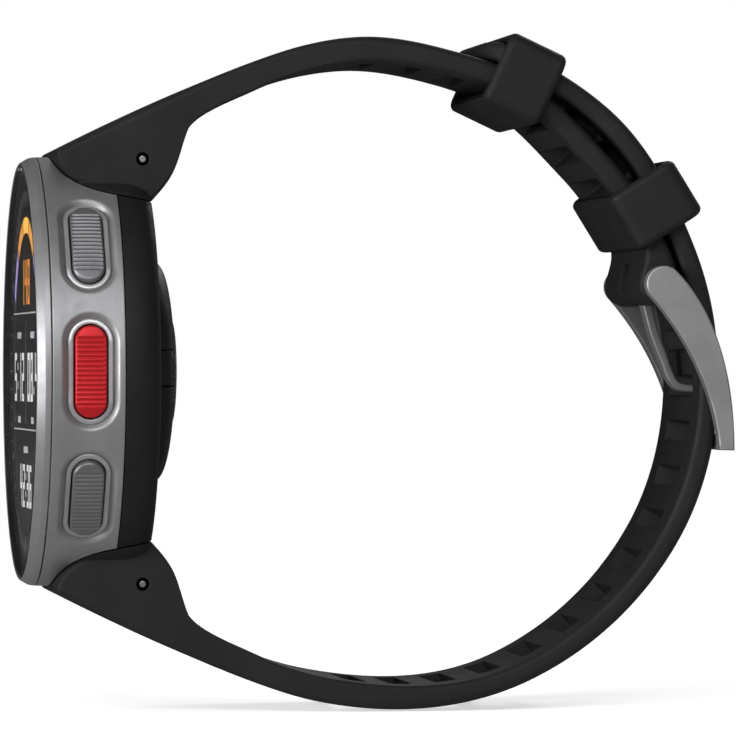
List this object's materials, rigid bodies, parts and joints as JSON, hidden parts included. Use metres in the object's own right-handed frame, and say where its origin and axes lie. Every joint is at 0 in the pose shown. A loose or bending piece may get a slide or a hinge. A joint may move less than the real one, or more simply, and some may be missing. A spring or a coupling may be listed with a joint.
{
  "type": "gps running watch",
  "caption": "Round sports watch with side push buttons, a raised sensor back and a slotted rubber strap buckled in a loop with keepers.",
  "frame": {"origin": "centre of the flat sensor window that rests on the wrist, on the case's axis", "axes": "+X to the three-button side (3 o'clock), -Y out of the dial, +Z to the upper strap (12 o'clock)"},
  "size_m": [0.0461, 0.076, 0.0724],
  "materials": {
    "cover_glass": "polished dark cover glass",
    "sensor_glass": "polished dark window",
    "photodiode": "dark sensor die",
    "display": "dark display with a lit data page",
    "case_metal": "satin titanium grey",
    "bright_metal": "bright bevelled metal",
    "red_metal": "red anodised, ribbed",
    "button_metal": "satin titanium grey, ribbed",
    "buckle_metal": "matt grey, finely brushed",
    "steel": "plain steel",
    "seal_rubber": "soft black seal",
    "strap_rubber": "matt black silicone",
    "black_polymer": "matt black polymer",
    "board": "green circuit board",
    "gold_contact": "gold plated",
    "battery_foil": "foil pouch",
    "led": "clear lens over a green emitter"
  },
  "bodies": {
    "watch": {"lens_glass": "cover_glass", "lens_gasket": "seal_rubber", "bezel_ring": "case_metal", "dial_ring": "black_polymer", "display_panel": "display", "mid_case": "case_metal", "main_gasket": "seal_rubber", "rear_case": "black_polymer", "back_screw_1": "steel", "back_screw_2": "steel", "back_screw_3": "steel", "back_screw_4": "steel", "sensor_cover": "black_polymer", "charge_port": "black_polymer", "charge_contact_1": "gold_contact", "charge_contact_2": "gold_contact", "charge_contact_3": "gold_contact", "charge_contact_4": "gold_contact", "inner_frame": "black_polymer", "circuit_board": "board", "gps_antenna": "gold_contact", "battery": "battery_foil", "vibration_motor": "steel", "sensor_board": "board", "sensor_window": "sensor_glass", "sensor_led_a": "led", "sensor_led_b": "led", "photodiode_a": "photodiode", "photodiode_b": "photodiode", "button_ring_up": "bright_metal", "button_spring_up": "steel", "button_seal_up": "seal_rubber", "button_ring_ok": "bright_metal", "button_spring_ok": "steel", "button_seal_ok": "seal_rubber", "button_ring_down": "bright_metal", "button_spring_down": "steel", "button_seal_down": "seal_rubber", "button_ring_light": "bright_metal", "button_spring_light": "steel", "button_seal_light": "seal_rubber", "button_ring_back": "bright_metal", "button_spring_back": "steel", "button_seal_back": "seal_rubber", "strap_upper": "strap_rubber", "strap_lower": "strap_rubber", "strap_pin_upper": "steel", "strap_pin_lower": "steel", "buckle_pin": "steel"},
    "button_up": {"button_up": "button_metal"},
    "button_ok": {"button_ok": "red_metal"},
    "button_down": {"button_down": "button_metal"},
    "button_light": {"button_light": "button_metal"},
    "button_back": {"button_back": "button_metal"},
    "buckle": {"buckle_frame": "buckle_metal"},
    "tang": {"buckle_tang": "buckle_metal"},
    "keeper_buckle": {"keeper_buckle": "strap_rubber"},
    "keeper_tail": {"keeper_tail": "strap_rubber"}
  },
  "joints": [
    {"name": "button_up_press", "type": "slide", "parent": "watch", "child": "button_up", "axis": [-0.8039, 0, -0.5948], "range_m": [0, 0.0006], "stiffness_N_per_m": 900, "springref_m": -0.0004, "deforming": ["button_spring_up"]},
    {"name": "button_ok_press", "type": "slide", "parent": "watch", "child": "button_ok", "axis": [-1, 0, 0], "range_m": [0, 0.0006], "stiffness_N_per_m": 900, "springref_m": -0.0004, "deforming": ["button_spring_ok"]},
    {"name": "button_down_press", "type": "slide", "parent": "watch", "child": "button_down", "axis": [-0.8039, 0, 0.5948], "range_m": [0, 0.0006], "stiffness_N_per_m": 900, "springref_m": -0.0004, "deforming": ["button_spring_down"]},
    {"name": "button_light_press", "type": "slide", "parent": "watch", "child": "button_light", "axis": [0.8039, 0, -0.5948], "range_m": [0, 0.0006], "stiffness_N_per_m": 900, "springref_m": -0.0004, "deforming": ["button_spring_light"]},
    {"name": "button_back_press", "type": "slide", "parent": "watch", "child": "button_back", "axis": [0.8039, 0, 0.5948], "range_m": [0, 0.0006], "stiffness_N_per_m": 900, "springref_m": -0.0004, "deforming": ["button_spring_back"]},
    {"name": "buckle_open", "type": "hinge", "parent": "watch", "child": "buckle", "pos_m": [0, 0.05155, 0.00937], "axis": [1, 0, 0], "range_deg": [0, 4]},
    {"name": "tang_lift", "type": "hinge", "parent": "watch", "child": "tang", "pos_m": [0, 0.05155, 0.00937], "axis": [1, 0, 0], "range_deg": [0, 4]},
    {"name": "keeper_buckle_slide", "type": "hinge", "parent": "watch", "child": "keeper_buckle", "pos_m": [0, 0.022, 0], "axis": [1, 0, 0], "range_deg": [0, 7]},
    {"name": "keeper_tail_slide", "type": "hinge", "parent": "watch", "child": "keeper_tail", "pos_m": [0, 0.022, 0], "axis": [1, 0, 0], "range_deg": [-3, 2]}
  ],
  "couplings": [
    {"joint": "tang_lift", "follows": "buckle_open", "ratio": 1}
  ]
}
